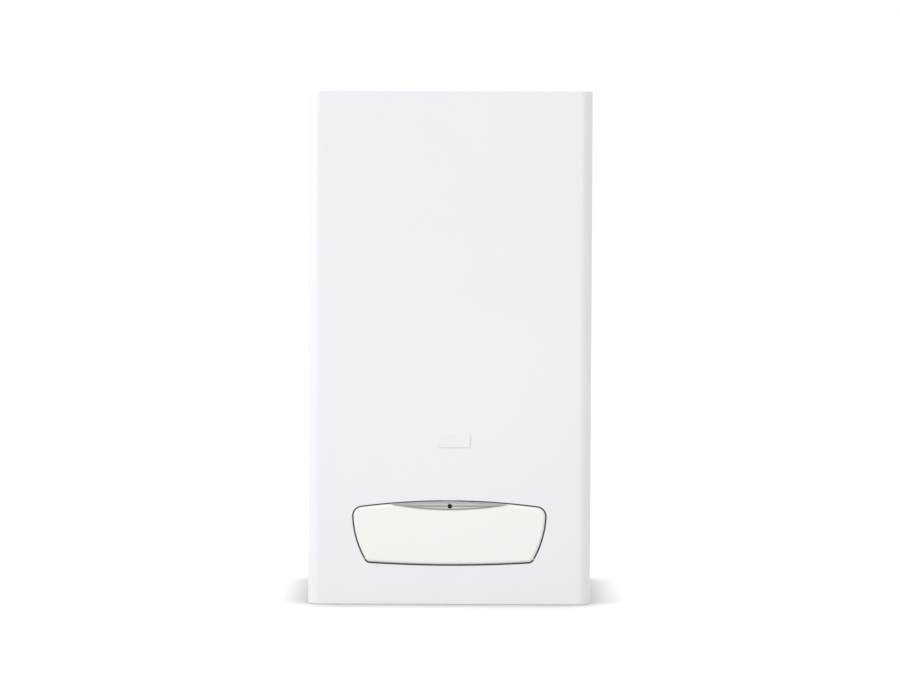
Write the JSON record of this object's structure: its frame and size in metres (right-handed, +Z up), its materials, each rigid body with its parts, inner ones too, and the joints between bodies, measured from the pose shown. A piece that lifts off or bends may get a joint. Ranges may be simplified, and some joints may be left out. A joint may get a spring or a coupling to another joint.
{
  "type": "combi boiler",
  "caption": "Wall-hung combi boiler: white sheet-steel cover, drop-down flap over the controls, fan-flued burner above and pump, valves and water connections below.",
  "frame": {"origin": "on the wall, at the middle of the wall rail's back face", "axes": "+X to the right seen from the front, +Y into the wall, +Z up; the front faces -Y"},
  "size_m": [0.45, 0.3475, 0.816],
  "materials": {
    "enamel": "smooth white powder coat, semi-gloss",
    "ivory_plastic": "fine satin moulded ivory",
    "silver_paint": "silver-painted moulding, satin",
    "smoked_lens": "polished dark lens",
    "grey_plastic": "fine texture",
    "dark_plastic": "moulded black, fine texture",
    "white_plastic": "satin moulded white",
    "glazed_ceramic": "white glazed insulator",
    "galvanised": "galvanised sheet, dull spangle",
    "stainless": "stainless and aluminised sheet, satin",
    "steel": "bright drawn wire",
    "brass": "cast and machined, slightly dull",
    "copper": "copper tube and fins, satin",
    "cast_aluminium": "die-cast, matt",
    "red_paint": "red gloss paint",
    "red_plastic": "moulded red",
    "blue_plastic": "moulded blue",
    "rubber": "closed-cell foam strip, black",
    "cable": "flexible sleeve, black",
    "silicone": "silicone tube, red-brown",
    "ceramic_fibre": "pressed ceramic-fibre board",
    "board": "green circuit board with parts",
    "clear_glass": "clear window"
  },
  "bodies": {
    "chassis": {"air_inlet_socket": "enamel", "control_fascia": "grey_plastic", "control_box": "dark_plastic", "fan_motor": "dark_plastic", "diverter_motor": "dark_plastic", "pressure_gauge": "dark_plastic", "cable_gland": "dark_plastic", "air_pressure_switch": "white_plastic", "ignition_electrode": "glazed_ceramic", "wall_rail": "galvanised", "back_frame": "galvanised", "chamber_box": "galvanised", "top_panel": "galvanised", "air_blanking_plate": "galvanised", "base_tray": "galvanised", "fan_housing": "galvanised", "exhaust_spigot": "stainless", "flue_hood": "stainless", "combustion_chamber": "stainless", "burner": "stainless", "plate_heat_exchanger": "stainless", "flow_manifold": "brass", "return_manifold": "brass", "safety_valve": "brass", "burner_manifold": "brass", "air_vent": "brass", "heat_exchanger": "copper", "vessel_pipe": "copper", "heating_flow_pipe": "copper", "heating_return_pipe": "copper", "gas_inlet_pipe": "copper", "gas_burner_pipe": "copper", "gauge_capillary": "copper", "gas_valve": "cast_aluminium", "pump_motor": "cast_aluminium", "expansion_vessel": "red_paint", "wall_spacer": "rubber", "wiring_loom": "cable", "pressure_hose": "silicone", "chamber_lining": "ceramic_fibre", "circuit_board": "board", "gauge_glass": "clear_glass"},
    "cover": {"front_cover": "enamel", "cover_seal": "rubber", "badge_plate": "enamel", "flap_bezel": "grey_plastic", "hinge_pin_right": "steel", "hinge_pin_left": "steel"},
    "flap": {"control_flap": "ivory_plastic", "grip_trim": "silver_paint", "status_lens": "smoked_lens"},
    "mode_knob_body": {"mode_knob": "white_plastic"},
    "heating_knob_body": {"heating_knob": "white_plastic"},
    "hot_water_knob_body": {"hot_water_knob": "white_plastic"},
    "reset_button_body": {"reset_button": "red_plastic"},
    "needle_body": {"gauge_needle": "red_plastic"},
    "fan_wheel": {"fan_impeller": "stainless"},
    "pump_wheel": {"pump_impeller": "white_plastic"},
    "safety_knob_body": {"safety_valve_knob": "red_plastic"},
    "filling_knob_body": {"filling_knob": "blue_plastic"}
  },
  "joints": [
    {"name": "cover_removal", "type": "slide", "parent": "chassis", "child": "cover", "axis": [0, -1, 0], "range_m": [0, 0.4]},
    {"name": "flap_hinge", "type": "hinge", "parent": "cover", "child": "flap", "pos_m": [0, -0.3422, -0.67192], "axis": [1, 0, 0], "range_deg": [0, 88]},
    {"name": "mode_turn", "type": "hinge", "parent": "chassis", "child": "mode_knob_body", "pos_m": [-0.05, -0.325, -0.627], "axis": [0, 1, 0], "range_deg": [-60, 60]},
    {"name": "heating_turn", "type": "hinge", "parent": "chassis", "child": "heating_knob_body", "pos_m": [0.01, -0.325, -0.627], "axis": [0, 1, 0], "range_deg": [-135, 135]},
    {"name": "hot_water_turn", "type": "hinge", "parent": "chassis", "child": "hot_water_knob_body", "pos_m": [0.07, -0.325, -0.627], "axis": [0, 1, 0], "range_deg": [-135, 135]},
    {"name": "reset_press", "type": "slide", "parent": "chassis", "child": "reset_button_body", "axis": [0, 1, 0], "range_m": [0, 0.003], "stiffness_N_per_m": 400},
    {"name": "needle_swing", "type": "hinge", "parent": "chassis", "child": "needle_body", "pos_m": [-0.11, -0.3175, -0.627], "axis": [0, 1, 0], "range_deg": [-135, 135], "stiffness_Nm_per_rad": 0.0002},
    {"name": "fan_spin", "type": "hinge", "parent": "chassis", "child": "fan_wheel", "pos_m": [-0.038, -0.211, -0.007], "axis": [0, 1, 0], "continuous": true},
    {"name": "pump_spin", "type": "hinge", "parent": "chassis", "child": "pump_wheel", "pos_m": [0.13, -0.083, -0.595], "axis": [0, 1, 0], "continuous": true},
    {"name": "safety_valve_turn", "type": "hinge", "parent": "chassis", "child": "safety_knob_body", "pos_m": [-0.13, -0.16, -0.645], "axis": [0, -1, 0], "range_deg": [0, 90]},
    {"name": "filling_tap_turn", "type": "hinge", "parent": "chassis", "child": "filling_knob_body", "pos_m": [0.098, -0.075, -0.722], "axis": [0, 0, -1], "range_deg": [0, 90]}
  ]
}
